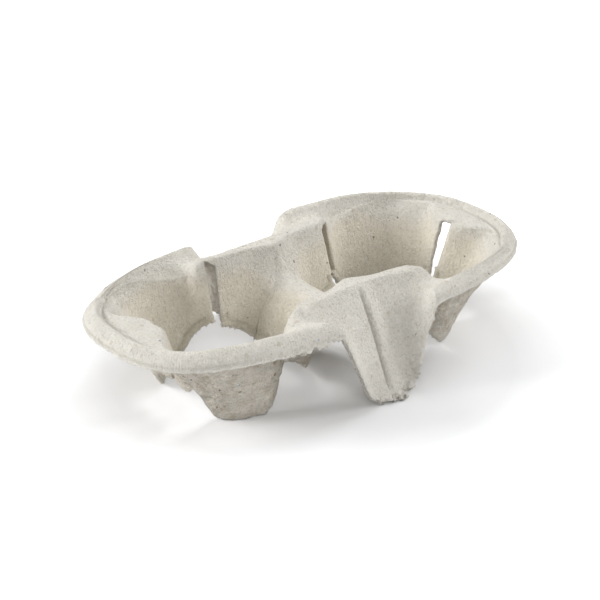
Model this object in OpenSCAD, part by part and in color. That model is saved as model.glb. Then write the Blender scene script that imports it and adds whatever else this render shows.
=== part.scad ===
// Two-cup carrier of moulded pulp: one continuous shell with two tapered cup pockets,
// a rolled rim, slit pocket walls, two feet under each pocket and a funnel-shaped foot
// on each long side.
// The shell is one sheet, laid out as columns round each pocket and rows from the
// lower edge of the pocket wall over the ledge to the rim, then given its thickness.

/* [Overall] */
// half of the overall length, at the rim's lip
half_length = 104.5; // [98:0.5:140]
// half of the overall width, at the rim's lip
half_width = 54.5; // [50:0.5:75]
// how square the plan outline is, where two is an ellipse
outline_squareness = 2.7; // [2:0.1:4]
// thickness of the pulp
pulp = 2.2; // [1.2:0.1:3.5]

/* [Pocket] */
// distance of the pocket centre from the middle, at the floor
pocket_low_x = 43; // [38:0.5:50]
// distance of the pocket centre from the middle, at the ledge
pocket_top_x = 47.2; // [44:0.2:50]
// pocket radius at the floor
pocket_low_radius = 29.5; // [25:0.5:33]
// pocket radius at the ledge, beside the slits
pocket_top_radius = 33.5; // [31:0.5:37]
// pocket radius at the ledge, in the flared lobes beside the end slit
lobe_radius = 47.5; // [40:0.5:48.5]
// how far the pocket's end leans in at the floor
end_lean = 4; // [0:0.5:7]
// how far the pocket wall leans in at the floor, beside the inner slits
slit_lean = 9; // [0:0.5:11]
// width of each slit in the pocket wall
slit_width = 3; // [2:0.1:5]
// angle of the inner slits, from the end of the carrier
slit_angle = 117; // [114:0.5:120]
// height of the turned-in toe at the pocket's lower edge
toe_height = 3.2; // [1.5:0.1:5]
// how far that toe turns in
toe_turn = 1.1; // [0:0.1:2]

/* [Feet] */
// height of the pocket wall's lower edge at the ends
end_window = 11; // [6:0.5:16]
// height of the pocket wall's lower edge beside the inner slits
slit_window = 17; // [10:0.5:21]
// height of the lower edge under the middle walls, at the slits
middle_window = 15.5; // [8:0.5:19]
// height of the lower edge under the divider
divider_window = 3; // [2:0.5:8]
// angle where the foot's outer side leaves the end window
foot_from = 20; // [14:0.5:30]
// angle where the foot reaches the floor
foot_down = 42; // [38:0.5:50]
// angle where the wide foot of each pocket leaves the floor
wide_foot_up = 80; // [74:0.5:86]
// angle where the wide foot's inner side reaches the slit window
wide_foot_to = 112; // [100:0.5:114]
// angle where the narrow foot across from it leaves the floor
narrow_foot_up = 70; // [62:0.5:76]
// angle where the narrow foot's inner side reaches the slit window
narrow_foot_to = 106; // [92:0.5:112]
// waviness of the lower edges between the feet
ragged = 0.5; // [0:0.1:1]

/* [Rim] */
// ledge height at the ends, beside the end slit
ledge_end_height = 40.5; // [34:0.5:46]
// ledge height at the inner edge of the side flare
ledge_side_height = 38.2; // [32:0.2:42]
// ledge height at the inner slits
ledge_slit_height = 44; // [38:0.5:48]
// crest height of the rim bead at the ends
crest_end_height = 42.2; // [38:0.2:46]
// crest height of the rim bead along the sides
crest_side_height = 44.8; // [40:0.2:50]
// height of the lip's edge at the ends
lip_end_height = 36.5; // [30:0.5:40]
// height of the lip's edge along the sides
lip_side_height = 37.5; // [30:0.5:42]
// distance of the bead crest from the lip's edge
crest_inset = 5; // [3:0.1:7]
// distance of the groove from the lip's edge
groove_inset = 7.2; // [7:0.1:9]
// depth of the groove inside the bead, at the ends
groove_depth = 1.2; // [0:0.1:2]
// run of the rounding from pocket wall to ledge, beside the slits
wall_round = 2.2; // [1.5:0.1:3.5]
// run of the rounding from pocket wall to ledge, in the lobes
lobe_round = 3.2; // [2:0.1:4]
// run of the rounding from pocket wall to the side flare
side_round = 5; // [3:0.5:7]
// dip of the ridge between the rim and the inner slits
ridge_dip = 4.4; // [0:0.1:6]

/* [Middle] */
// height of the plateau between the inner slits
plateau_height = 44.5; // [38:0.5:50]
// distance of the plateau's outer edge from the long axis, beside the slits
plateau_out = 34; // [31:0.5:37]
// distance of the plateau's outer edge from the long axis, in the middle
plateau_middle_out = 30.5; // [30:0.5:35]
// distance of the plateau's inner edge from the long axis, beside the slits
plateau_in = 28; // [26:0.5:30]
// further reach of the plateau toward the divider, in the middle
plateau_bulge = 4.5; // [0:0.5:7]
// height of the divider's saddle between the pockets
saddle_height = 30.5; // [24:0.5:38]
// half of the saddle's level run, along its crest
saddle_run = 13.5; // [8:0.5:17]
// how far the pocket's corner at the divider stands out from the round pocket
corner_reach = 3; // [0:0.5:5]
// half width of the saddle's level top, at its corners
saddle_half = 7; // [4:0.5:9]
// distance of those corners from the middle of the divider
saddle_corner = 15.5; // [12:0.5:18]
// drop of those corners below the saddle's top
corner_drop = 3; // [1:0.5:6]
// distance of the funnel foot's outer edge from the long axis
funnel_out = 54; // [46:0.5:60]
// half width of the funnel at its upper end
funnel_top_half = 29.5; // [26:0.5:30]
// half width of the funnel at its open edge
funnel_edge_half = 25.4; // [20:0.2:26]
// half width of the funnel's foot on the floor
funnel_foot_half = 9.5; // [5:0.5:13]
// depth of the crease along the funnel's middle line
crease_depth = 1.2; // [0:0.1:1.6]
// drop from the rim's end to the funnel's flank
flank_drop = 0.9; // [0.3:0.1:2]

/* [Hidden] */
// counts of columns and rows
end_columns = 24;
funnel_columns = 9;
saddle_columns = 5;
wall_rows = 8;
plateau_rows = 4;
top_rows = 10;
rows = wall_rows + top_rows;
seam_row = wall_rows + 2;
slit_column = end_columns;
seam_column = end_columns + 1 + funnel_columns;
last_column = seam_column + saddle_columns;
ring = 2 * last_column + 1;
// half angle of a slit at the pocket's upper radius
slit_half_angle = asin(slit_width / 2 / pocket_top_radius);
// angle of the column that runs along the funnel's middle line
seam_angle = 147;
// share by which the outline's own angle lags behind the pocket angle
outline_lag_share = 0.31;
// angles between which the side flare replaces the end ledge
flare_from = 62;
flare_to = 96;
// half angle of the ledge's tongue at the end slit, and the angle where a lobe is full
tongue_angle = 8;
lobe_full = 27;
// angles between which a lobe fades toward the foot's side
lobe_from = 50;
lobe_to = 104;
// angles between which the end's lean fades
lean_from = 15;
lean_to = 45;
// angle from which the wall leans in toward the slit
slit_lean_from = 78;
// bow of the pocket wall
wall_power = 1.1;
// angles between which the ledge rises to the slit
rise_from = 97;
rise_to = 113;
// angles between which the groove inside the bead fades into the side flare
groove_from = 36;
groove_to = 60;
// angles between which the bead rises from end to side
crest_from = 25;
crest_to = 85;
// bend of the lower edge from the slit down to the divider
window_power = 2.4;
// shares of the top rows between rounding and groove, at the ends
ledge_shares = [0.33, 0.67];
// shares of the same rows and the bead's between rounding and crest, along the side flare
flare_shares = [0.1, 0.22, 0.42, 0.62, 0.82];
// shares of the ridge's dip on those rows
dip_shares = [0.36, 0.69, 0.97, 0.94, 0.59];
// share of the way up to the crest at which the groove lies
groove_rise_share = 0.55;
// shares of the way from groove to crest of the bead's inner rows
bead_shares = [0.42, 0.76];
// heights of those rows as shares of the bead's height
bead_height_shares = [0.5, 0.9];
// distance of the last round of the bead from the lip's edge, as share of the crest inset
lip_round_share = 0.28;
// height of that round above the lip's edge, as share of the bead's height
lip_round_height_share = 0.55;
// rows of the funnel as shares of its depth in plan
funnel_shares = [0.24, 0.44, 0.6, 0.75, 0.91, 1];
// waves of the lower edges: turns round the pocket, start angles and shares of the raggedness
wave_turns = [11, 23, 37];
wave_phases = [0, 40, 110];
wave_shares = [0.5, 0.35, 0.25];
// share of the pulp below which a point lies on the floor
floor_share = 0.02;
// most that the rounding takes of the ledge's run
round_limit_share = 0.6;
// least shares of the way from wall to lip at which groove and crest lie
ledge_least_share = 0.12;
crest_least_share = 0.25;
// share of the rounding's height left at its first row
round_height_share = 0.32;
// share of the rounding's run at its first row
round_run_share = 0.27;
// bow of the middle walls: how far in and how far up the turn lies
panel_reach_share = 0.25;
panel_lift_share = 0.72;
straight_share = 0.5;
// bow of the divider's walls: how far in and how far up the turn lies
saddle_reach_share = 0.2;
saddle_lift_share = 1;
// bend of the rise from saddle to plateau
rise_power = 1.6;
// angle from the corner over which its reach fades, and the fade of the corner along the wall
corner_angle = 16;
corner_power = 2;
// share of the wall's rows that lie below the saddle's corner
corner_share = 0.6;
// how late the plateau's inner edge turns out to the slit
plateau_turn = 6;
// bend of the funnel's side near its top, and of its middle line
funnel_power = 1.8;
funnel_bow = 1.35;
// half width of the crease as share of the funnel's half width, and shares of its depth on the rows
crease_half_share = 0.055;
crease_shares = [0.8, 1, 1, 1, 0.4, 0];
// shares of the crease's depth that it goes in and down
crease_in_share = 0.85;
crease_down_share = 0.5;
// share of the plateau's half length over which the middle bulge fades
bulge_share = 0.45;

function mix(a, b, t) = a + (b - a) * t;
function ramp(t) = t < 0 ? 0 : t > 1 ? 1 : t * t * (3 - 2 * t);
function step(a, b, v) = ramp((v - a) / (b - a));

// place of a column between the funnel's middle line and the slit
function across(q) =
    q == seam_column ? 0 : mix(crease_half_share, 1, (seam_column - 1 - q) / (funnel_columns - 1));

// angle of a quarter column about the pocket
function col_angle(q) =
    q <= slit_column
        ? mix(slit_half_angle, slit_angle - slit_half_angle, q / end_columns)
        : q <= seam_column
            ? mix(seam_angle, slit_angle + slit_half_angle, across(q))
            : mix(seam_angle, 180, (q - seam_column) / saddle_columns);

// pocket radius at the ledge and at the floor
function top_radius(a) =
    pocket_top_radius + (lobe_radius - pocket_top_radius) * step(tongue_angle, lobe_full, a)
        * max(0, min(1, (lobe_to - a) / (lobe_to - lobe_from)));
function lobe_share(a) = (top_radius(a) - pocket_top_radius) / (lobe_radius - pocket_top_radius);
function low_radius(a) =
    pocket_low_radius - end_lean * (1 - step(lean_from, lean_to, a))
        - slit_lean * (a < slit_angle ? step(slit_lean_from, slit_angle, a) : 1 - step(slit_angle, seam_angle, a));
// plan point at the top of the wall, and the ledge's run from there to the groove
function top_plan(a) = [pocket_top_x + top_radius(a) * cos(a), top_radius(a) * sin(a)];
function ledge_run(run) = max(run - groove_inset, run * ledge_least_share);
function side(a) = step(groove_from, groove_to, a);
function rounding(a) =
    min(mix(mix(wall_round, lobe_round, lobe_share(a)), side_round, side(a) - step(rise_from, rise_to, a)),
        ledge_run(norm(outline(a) - top_plan(a))) * round_limit_share);
// point of the leaning pocket wall at a height
function pocket(a, z) =
    let (b = pow(z / wall_top(a), wall_power),
         r = mix(low_radius(a), top_radius(a), b), x = mix(pocket_low_x, pocket_top_x, b))
    [x + r * cos(a), r * sin(a), z];

// lower edge of the pocket wall
function wave(a) =
    ragged * (wave_shares[0] * sin(a * wave_turns[0] + wave_phases[0])
        + wave_shares[1] * sin(a * wave_turns[1] + wave_phases[1])
        + wave_shares[2] * sin(a * wave_turns[2] + wave_phases[2]));
function low_edge(a, s) =
    let (up = s == 0 ? wide_foot_up : narrow_foot_up, to = s == 0 ? wide_foot_to : narrow_foot_to,
         outside = 1 - step(foot_from, foot_down, a), inside = step(up, to, a))
    a < slit_angle
        ? end_window * outside + slit_window * inside + wave(a) * (outside + inside)
        : mix(middle_window, divider_window,
              pow(min(1, (a - slit_angle) / (seam_angle - slit_angle)), window_power)) + wave(a);

// ledge, crest and lip heights round the rim
function ledge_z(a) =
    mix(mix(ledge_end_height, ledge_side_height, step(flare_from, flare_to, a)),
        ledge_slit_height, step(rise_from, rise_to, a));
function crest_z(a) = mix(crest_end_height, crest_side_height, step(crest_from, crest_to, a));
function lip_z(a) = mix(lip_end_height, lip_side_height, step(crest_from, crest_to, a));

// upper edge of the pocket wall
function wall_top(a) =
    a < slit_angle
        ? ledge_z(a) - rounding(a)
        : ledge_slit_height - wall_round;

// plan outline at the lip's edge
function outline(a) =
    let (t = a * (1 - outline_lag_share * a / slit_angle))
    [half_length * pow(cos(t), 2 / outline_squareness), half_width * pow(sin(t), 2 / outline_squareness)];

// rows of the pocket wall, from the lower edge up
function wall_height(a, i, s) = mix(low_edge(a, s) + toe_height, wall_top(a), (i - 1) / (wall_rows - 1));
function wall_point(a, i, s) = pocket(a, i == 0 ? low_edge(a, s) : wall_height(a, i, s));

// distance from the wall and height of each top row over the rim, first as it is at the ends
function end_row(a, k, w, dg, dc) =
    let (zl = ledge_z(a), zc = crest_z(a), zg = mix(zl, zc, groove_rise_share) - groove_depth)
    k <= 4 ? [mix(w, dg, ledge_shares[k - 3]), mix(zl, zg, ledge_shares[k - 3])]
    : k == 5 ? [dg, zg]
    : [mix(dg, dc, bead_shares[k - 6]), mix(zg, zc, bead_height_shares[k - 6])];
function flare_row(a, k, w, dc) =
    let (v = flare_shares[k - 3], dip = ridge_dip * step(rise_from, slit_angle, a))
    [mix(w, dc, v), mix(ledge_z(a), crest_z(a), v) - dip * dip_shares[k - 3]];
function rim_row(a, k, run) =
    let (dc = max(run - crest_inset, run * crest_least_share), w = rounding(a))
    k == 1 ? [w * round_run_share, ledge_z(a) - w * round_height_share]
    : k == 2 ? [w, ledge_z(a)]
    : k <= 7 ? mix(end_row(a, k, w, ledge_run(run), dc), flare_row(a, k, w, dc), side(a))
    : k == 8 ? [dc, crest_z(a)]
    : k == 9 ? [run - crest_inset * lip_round_share, mix(lip_z(a), crest_z(a), lip_round_height_share)]
    : [run, lip_z(a)];
function rim_point(a, k) =
    let (w = pocket(a, wall_top(a)), e = outline(a),
         d = [e[0] - w[0], e[1] - w[1]], run = norm(d), row = rim_row(a, k, run))
    [w[0] + d[0] * row[0] / run, w[1] + d[1] * row[0] / run, row[1]];

// middle plateau and funnel
function seam_z(y) =
    mix(saddle_height, plateau_height,
        pow(max(0, (y - saddle_run) / (plateau_in - plateau_bulge - saddle_run)), rise_power));
function plateau_inner(u) =
    [u * funnel_top_half, plateau_in - plateau_bulge * (1 - ramp(u / bulge_share))
        + (slit_side()[1] - plateau_in) * pow(u, plateau_turn), mix(plateau_height, ledge_slit_height, u)];
function plateau_outer(u) = mix(plateau_middle_out, plateau_out, u * u);
function slit_side() = pocket(slit_angle + slit_half_angle, wall_top(slit_angle));
function funnel_point(u, k) =
    let (v = funnel_shares[k - plateau_rows - 1],
         zf = plateau_height * (1 - pow(v, funnel_bow)),
         crease = u == 0 ? crease_depth * crease_shares[k - plateau_rows - 1] : 0,
         zr = rim_point(slit_angle - slit_half_angle, k)[2] - flank_drop,
         flat_share = funnel_foot_half / funnel_edge_half,
         side = mix(pow(u, funnel_power), u < flat_share ? 0 : (u - flat_share) / (1 - flat_share), v))
    [u * mix(funnel_top_half, funnel_edge_half, v),
     mix(plateau_outer(u), funnel_out, v) - crease * crease_in_share,
     mix(zf, zr, side) - crease * crease_down_share];

// bowed line from the lower edge of the wall up to a point of the plateau or saddle
function bow(a, b, t, reach, lift) =
    let (c = [mix(a[0], b[0], reach), mix(a[1], b[1], reach), mix(a[2], b[2], lift)])
    a * (1 - t) * (1 - t) + c * 2 * t * (1 - t) + b * t * t;
function corner(a) = max(0, 1 - abs(a - seam_angle) / corner_angle);
function low_point(a) =
    pocket(a, low_edge(a, 0)) + corner_reach * ramp(corner(a)) * [cos(a), sin(a), 0];
function corner_point(t) =
    let (knee = [saddle_half, saddle_corner, saddle_height - corner_drop])
    t < corner_share
        ? bow(low_point(seam_angle), knee, t / corner_share, panel_reach_share, panel_lift_share)
        : mix(knee, plateau_inner(0), (t - corner_share) / (1 - corner_share));
function inward(a, i) = i == 0 ? [-toe_turn * cos(a), -toe_turn * sin(a), 0] : [0, 0, 0];
function middle_point(q, i) =
    let (a = col_angle(q), u = across(q), p = plateau_inner(u),
         k = i - wall_rows, n = seam_row, o = [u * funnel_top_half, plateau_outer(u), p[2]])
    i <= n ? mix(bow(low_point(a), p, i / n, mix(panel_reach_share, straight_share, u),
                     mix(panel_lift_share, straight_share, u)),
                 corner_point(i / n), pow(1 - u, corner_power)) + inward(a, i)
    : k <= plateau_rows ? mix(p, o, (i - n) / (wall_rows + plateau_rows - n))
    : funnel_point(u, k);
function saddle_point(q, i) =
    let (a = col_angle(q), n = seam_row,
         y = (plateau_in - plateau_bulge) * (last_column - q) / saddle_columns)
    bow(low_point(a), [0, y, seam_z(y)], min(i, n) / n, saddle_reach_share, saddle_lift_share)
        + inward(a, i);

// middle surface of the sheet in a quarter, with the wide foot or the narrow one
function sheet(q, i, s) =
    let (a = col_angle(q), k = i - wall_rows)
    q > seam_column ? saddle_point(q, i)
    : q > slit_column ? middle_point(q, i)
    : k <= 0 ? wall_point(a, i, s)
    : rim_point(a, k);
SHEET = [for (s = [0, 1]) [for (q = [0 : last_column]) [for (i = [0 : rows]) sheet(q, i, s)]]];

// the same sheet all round one pocket, both sides of the long axis
function quarter_of(g) = g <= last_column ? g : ring - 1 - g;
function ring_point(g, i) =
    let (p = SHEET[g <= last_column ? 0 : 1][quarter_of(g)][i])
    g <= last_column ? p : [p[0], -p[1], p[2]];

// which cells of the sheet are pulp
function is_slit(g) =
    let (a = quarter_of(g), b = quarter_of((g + 1) % ring))
    g == ring - 1 || min(a, b) == slit_column && max(a, b) == slit_column + 1;
function last_row(g) =
    min(quarter_of(g), quarter_of((g + 1) % ring)) >= seam_column ? seam_row : rows;
function filled(g, i) =
    let (h = (g + ring) % ring)
    i >= 0 && i < last_row(h) && (!is_slit(h) || i > wall_rows);

// outward directions of the sheet's upper side
function column_rows(g) = quarter_of(g) > seam_column ? seam_row : rows;
function on_seam_point(g, i) = quarter_of(g) >= seam_column && i >= seam_row;
function upward(g, i) =
    let (n = column_rows(g), i0 = max(i - 1, 0), i1 = min(i + 1, n),
         h = (g + ring - 1) % ring, f = (g + 1) % ring,
         back = filled(h, i) || filled(h, i - 1), ahead = filled(g, i) || filled(g, i - 1),
         along = ring_point(g, i1) - ring_point(g, i0),
         about = ring_point(ahead ? f : g, i) - ring_point(back ? h : g, i),
         c = cross(along, about), s = on_seam_point(g, i) ? [0, c[1], c[2]] : c)
    s / norm(s);
function skin_point(g, i, side) =
    let (p = ring_point(g, i), r = p + upward(g, i) * side * pulp / 2)
    [on_seam_point(g, i) ? 0 : r[0], r[1], p[2] < pulp * floor_share ? 0 : max(r[2], 0)];

// point list: two halves, two skins
HALF = [for (side = [1, -1]) for (g = [0 : ring - 1]) for (i = [0 : rows])
    i <= column_rows(g) ? skin_point(g, i, side) : ring_point(g, seam_row)];
POINTS = concat(HALF, [for (p = HALF) [-p[0], -p[1], p[2]]]);
skin_count = ring * (rows + 1);
function at(half, skin, g, i) =
    let (w = (g + ring) % ring, shared = half == 1 && on_seam_point(w, i))
    (shared ? 0 : half) * 2 * skin_count + skin * skin_count
        + (shared ? ring - 1 - w : w) * (rows + 1) + i;

// both skins of a cell, and a strip wherever the sheet ends
function quad(a, b, c, d) = [[a, c, b], [a, d, c]];
function cell(h, g, i) = concat(
    quad(at(h, 0, g, i), at(h, 0, g, i + 1), at(h, 0, g + 1, i + 1), at(h, 0, g + 1, i)),
    quad(at(h, 1, g, i), at(h, 1, g + 1, i), at(h, 1, g + 1, i + 1), at(h, 1, g, i + 1)),
    filled(g - 1, i) || on_seam_edge(g, i) ? []
        : quad(at(h, 0, g, i), at(h, 1, g, i), at(h, 1, g, i + 1), at(h, 0, g, i + 1)),
    filled(g + 1, i) || on_seam_edge(g + 1, i) ? []
        : quad(at(h, 0, g + 1, i + 1), at(h, 1, g + 1, i + 1), at(h, 1, g + 1, i), at(h, 0, g + 1, i)),
    filled(g, i - 1) ? [] : quad(at(h, 0, g + 1, i), at(h, 1, g + 1, i), at(h, 1, g, i), at(h, 0, g, i)),
    filled(g, i + 1) || last_row(g) < rows ? []
        : quad(at(h, 0, g, i + 1), at(h, 1, g, i + 1), at(h, 1, g + 1, i + 1), at(h, 0, g + 1, i + 1)));
function on_seam_edge(g, i) =
    quarter_of((g + ring) % ring) == seam_column && i >= seam_row;
FACES = [for (h = [0, 1]) for (g = [0 : ring - 1]) for (i = [0 : rows - 1])
    if (filled(g, i)) for (f = cell(h, g, i)) f];

// the carrier, one sheet of pulp
module carrier() {
    color([0.72, 0.69, 0.64])
        polyhedron(points = POINTS, faces = FACES, convexity = 10);
}

carrier();
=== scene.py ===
import bmesh
import bpy
import math
import numpy as np
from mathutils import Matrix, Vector, noise
from mathutils.kdtree import KDTree


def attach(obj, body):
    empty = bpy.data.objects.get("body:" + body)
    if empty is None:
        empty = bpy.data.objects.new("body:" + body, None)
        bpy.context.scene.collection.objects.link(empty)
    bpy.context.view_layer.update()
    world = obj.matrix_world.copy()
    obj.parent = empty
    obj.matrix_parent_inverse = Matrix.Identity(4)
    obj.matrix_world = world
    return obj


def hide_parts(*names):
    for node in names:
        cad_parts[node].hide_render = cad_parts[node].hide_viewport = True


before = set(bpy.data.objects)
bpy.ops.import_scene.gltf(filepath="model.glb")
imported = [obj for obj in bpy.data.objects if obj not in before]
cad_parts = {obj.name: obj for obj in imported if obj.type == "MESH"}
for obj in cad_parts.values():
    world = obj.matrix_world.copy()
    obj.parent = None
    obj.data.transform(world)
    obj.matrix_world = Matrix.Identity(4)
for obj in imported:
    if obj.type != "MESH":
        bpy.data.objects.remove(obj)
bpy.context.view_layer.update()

MM = 0.001

# Sizes of the carrier, in millimetres and degrees, close to those of the part's source
# From foot to notch, threes are for the left wide foot, the narrow feet and the right wide foot
# Levels of the ledge go end, side, slit, and those of the crest and the lip end, side
S = dict(
    half_length=104.5, half_width=54.5, squareness=2.7, pulp=2.2,
    low_x=43.0, top_x=47.2, low_r=29.5, top_r=33.5, lobe_r=47.5, end_lean=4.0,
    slit_lean=9.0, slit_w=3.0, slit_a=117.0, toe=3.2, toe_turn=1.1, ragged=0.5,
    end_win=11.0, slit_win=17.0, mid_win=15.5, div_win=6.0,
    foot=((32.5, 40.0), (20.0, 39.0), (33.0, 45.0)),
    foot_in=((80.0, 112.0), (68.0, 112.0), (80.0, 112.0)),
    torn=(7.0, 0.0, 0.0), skirt=(1.5, 0.0, 1.5), notch=(3.0, 0.0, 0.0),
    ledge=(40.5, 38.2, 44.0), crest=(42.2, 44.8), lip=(36.5, 37.5),
    crest_in=5.0, groove_in=7.2, groove_d=1.2,
    wall_round=2.2, lobe_round=3.2, side_round=5.0, ridge_dip=4.4,
    plat_z=44.5, plat_out=34.0, plat_mid_out=30.5, plat_in=28.0, bulge=4.5,
    saddle_z=30.5, saddle_run=13.5, saddle_half=7.0, saddle_corner=15.5,
    corner_reach=3.0, corner_drop=3.0,
    fun_out=54.0, fun_top=29.5, fun_edge=25.4, fun_foot=9.5, flank=0.9, crease=1.2,
)

# Angles round a pocket between which a form begins and is complete
TURN = dict(
    lobe=(8, 27), lobe_fade=(50, 104), side=(36, 60), ridge=(97, 113), dip=(97, S["slit_a"]),
    ledge=(62, 96), crest=(25, 85), end_lean=(15, 45), slit_lean=(78, S["slit_a"]),
    notch=(106, 115),
)
SEAM_A = 147.0
SLIT_HALF = math.degrees(math.asin(S["slit_w"] / 2 / S["top_r"]))

# Columns round half a pocket, and rows from its lower edge to the lip
END_COLS, FUN_COLS, SAD_COLS = 24, 9, 5
WALL, PLAT, TOP = 8, 4, 10
TURN_ROW, LEDGE_ROW, GROOVE_ROW, CREST_ROW, SIDE_ROW = 1, 2, 5, 8, 9
ROWS = WALL + TOP
SLIT_COL = END_COLS
SEAM_COL = END_COLS + 1 + FUN_COLS
LAST_COL = SEAM_COL + SAD_COLS
RING = 2 * LAST_COL + 1
SEAM_ROW = WALL + LEDGE_ROW
SEAM_STEP = 0.055


def mix(start, end, t):
    return start + (end - start) * t


def ramp(t):
    t = min(1.0, max(0.0, t))
    return t * t * (3 - 2 * t)


def step(start, end, v):
    return ramp((v - start) / (end - start))


def bell(gap, wide, power=2):
    return np.exp(-(gap / wide) ** power)


def fade_in(v, start, run):
    return np.clip((v - start) / run, 0, 1)


def sine(a):
    return math.sin(math.radians(a))


def cosine(a):
    return math.cos(math.radians(a))


# In the functions of the shape a is an angle, q a column of half a pocket and g one of a whole one
# There i is a row from the lower edge, k one from the wall's top, and t, u and v are shares of a way
def across(q):
    return 0.0 if q == SEAM_COL else mix(SEAM_STEP, 1, (SEAM_COL - 1 - q) / (FUN_COLS - 1))


def col_angle(q):
    if q <= SLIT_COL:
        return mix(SLIT_HALF, S["slit_a"] - SLIT_HALF, q / END_COLS)
    if q <= SEAM_COL:
        return mix(SEAM_A, S["slit_a"] + SLIT_HALF, across(q))
    return mix(SEAM_A, 180, (q - SEAM_COL) / SAD_COLS)


# Pocket wall
OUTLINE_TURN, WALL_CURVE, WINDOW_CURVE = 0.31, 1.1, 2.4
LEDGE_LEAST, ROUND_MOST = 0.12, 0.6
TORN_AT, TORN_WIDE, SKIRT_AT, SKIRT_WIDE = 31, 7, 12, 5
WAVES = ((0.5, 11, 0), (0.35, 23, 40), (0.25, 37, 110))


def top_radius(a):
    start, end = TURN["lobe_fade"]
    fade = max(0.0, min(1.0, (end - a) / (end - start)))
    return S["top_r"] + (S["lobe_r"] - S["top_r"]) * step(*TURN["lobe"], a) * fade


def lobe_share(a):
    return (top_radius(a) - S["top_r"]) / (S["lobe_r"] - S["top_r"])


def outline(a):
    t = a * (1 - OUTLINE_TURN * a / S["slit_a"])
    p = 2 / S["squareness"]
    return np.array([S["half_length"] * cosine(t) ** p, S["half_width"] * sine(t) ** p])


def ledge_run(run):
    return max(run - S["groove_in"], run * LEDGE_LEAST)


def side(a):
    return step(*TURN["side"], a)


def rounding(a):
    plan = np.array([S["top_x"] + top_radius(a) * cosine(a), top_radius(a) * sine(a)])
    run = ledge_run(np.linalg.norm(outline(a) - plan))
    turn = mix(S["wall_round"], S["lobe_round"], lobe_share(a))
    turn = mix(turn, S["side_round"], side(a) - step(*TURN["ridge"], a))
    return min(turn, run * ROUND_MOST)


def ledge_z(a):
    low = mix(S["ledge"][0], S["ledge"][1], step(*TURN["ledge"], a))
    return mix(low, S["ledge"][2], step(*TURN["ridge"], a))


def crest_z(a):
    return mix(S["crest"][0], S["crest"][1], step(*TURN["crest"], a))


def lip_z(a):
    return mix(S["lip"][0], S["lip"][1], step(*TURN["crest"], a))


def wall_top(a):
    return ledge_z(a) - rounding(a) if a < S["slit_a"] else S["ledge"][2] - S["wall_round"]


def pocket(a, z):
    rise = (z / wall_top(a)) ** WALL_CURVE
    if a < S["slit_a"]:
        lean = step(*TURN["slit_lean"], a)
    else:
        lean = 1 - step(S["slit_a"], SEAM_A, a)
    end = 1 - step(*TURN["end_lean"], a)
    low = S["low_r"] - S["end_lean"] * end - S["slit_lean"] * lean
    r = mix(low, top_radius(a), rise)
    return np.array([mix(S["low_x"], S["top_x"], rise) + r * cosine(a), r * sine(a), z])


def wave(a):
    return S["ragged"] * sum(high * sine(a * often + shift) for high, often, shift in WAVES)


def low_edge(a, foot):
    outside = 1 - step(*S["foot"][foot], a)
    inside = step(*S["foot_in"][foot], a)
    torn = S["torn"][foot] * bell(a - TORN_AT, TORN_WIDE)
    torn -= S["skirt"][foot] * bell(a - SKIRT_AT, SKIRT_WIDE)
    notch = S["notch"][foot] * step(*TURN["notch"], a)
    level = (S["end_win"] + torn) * outside + S["slit_win"] * inside + notch
    return level + wave(a) * (outside + inside)


def inner_edge(a):
    t = min(1.0, (a - S["slit_a"]) / (SEAM_A - S["slit_a"]))
    return mix(S["mid_win"], S["div_win"], t ** WINDOW_CURVE) + wave(a)


def wall_point(a, i, foot):
    low = low_edge(a, foot)
    return pocket(a, low if i == 0 else mix(low + S["toe"], wall_top(a), (i - 1) / (WALL - 1)))


# Rim from the pocket's upper edge to the lip
FLARE = (0.1, 0.22, 0.42, 0.62, 0.82)
DIP = (0.36, 0.69, 0.97, 0.94, 0.59)
GROOVE_STEPS, GROOVE_LEVEL = (0.33, 0.67, 1), 0.55
BEAD_STEPS = ((0.42, 0.5), (0.76, 0.9))
TURN_IN, TURN_DOWN = 0.27, 0.32
BEAD_LEAST, BEAD_SIDE, BEAD_LEVEL = 0.25, 0.28, 0.55


# Each row is a distance out from the pocket's edge and a level
def end_row(a, k, turn, groove, crest):
    ledge_level, crest_level = ledge_z(a), crest_z(a)
    groove_level = mix(ledge_level, crest_level, GROOVE_LEVEL) - S["groove_d"]
    if k <= GROOVE_ROW:
        t = GROOVE_STEPS[k - LEDGE_ROW - 1]
        return np.array([mix(turn, groove, t), mix(ledge_level, groove_level, t)])
    go_out, go_up = BEAD_STEPS[k - GROOVE_ROW - 1]
    return np.array([mix(groove, crest, go_out), mix(groove_level, crest_level, go_up)])


def flare_row(a, k, turn, crest):
    row = k - LEDGE_ROW - 1
    dip = S["ridge_dip"] * step(*TURN["dip"], a)
    level = mix(ledge_z(a), crest_z(a), FLARE[row]) - dip * DIP[row]
    return np.array([mix(turn, crest, FLARE[row]), level])


def rim_row(a, k, run):
    crest, turn = max(run - S["crest_in"], run * BEAD_LEAST), rounding(a)
    if k == TURN_ROW:
        return turn * TURN_IN, ledge_z(a) - turn * TURN_DOWN
    if k == LEDGE_ROW:
        return turn, ledge_z(a)
    if k < CREST_ROW:
        at_end = end_row(a, k, turn, ledge_run(run), crest)
        return mix(at_end, flare_row(a, k, turn, crest), side(a))
    if k == CREST_ROW:
        return crest, crest_z(a)
    if k == SIDE_ROW:
        return run - S["crest_in"] * BEAD_SIDE, mix(lip_z(a), crest_z(a), BEAD_LEVEL)
    return run, lip_z(a)


def rim_point(a, k):
    start = pocket(a, wall_top(a))
    go = outline(a) - start[:2]
    run = np.linalg.norm(go)
    far, level = rim_row(a, k, run)
    return np.array([start[0] + go[0] * far / run, start[1] + go[1] * far / run, level])


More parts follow.
